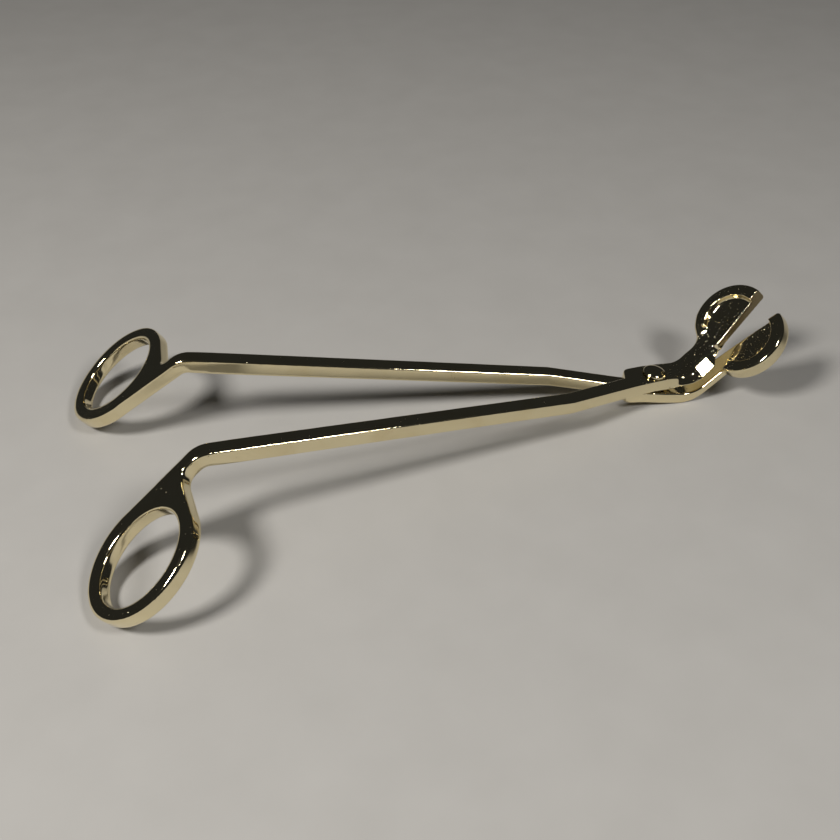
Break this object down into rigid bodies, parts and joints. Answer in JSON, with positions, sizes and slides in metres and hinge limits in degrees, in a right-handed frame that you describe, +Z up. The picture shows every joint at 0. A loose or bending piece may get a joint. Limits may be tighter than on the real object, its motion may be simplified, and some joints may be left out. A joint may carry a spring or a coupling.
{
  "type": "wick trimmer",
  "caption": "Candle wick trimmer: two crossed levers with bent-down finger rings, a domed rivet, and tilted, dished half-disc blades that clip a wick and catch the end.",
  "frame": {"origin": "middle of the tool's footprint, on the table it lies on", "axes": "+X along the tool towards the blades, +Y towards the lower lever's finger ring, +Z up from the table"},
  "size_m": [0.1906, 0.1016, 0.0286],
  "materials": {
    "upper_lever_plating": "mirror-polished pale gold plating over steel",
    "lower_lever_plating": "mirror-polished pale gold plating over steel",
    "rivet_plating": "polished pale gold plating over steel"
  },
  "bodies": {
    "lower": {"lower_lever": "lower_lever_plating", "pivot_rivet": "rivet_plating"},
    "upper": {"upper_lever": "upper_lever_plating"}
  },
  "joints": [
    {"name": "rivet_hinge", "type": "hinge", "parent": "lower", "child": "upper", "pos_m": [0.05939, 0, 0.00469], "axis": [0.1581, 0, 0.9874], "range_deg": [-15, 25]}
  ]
}
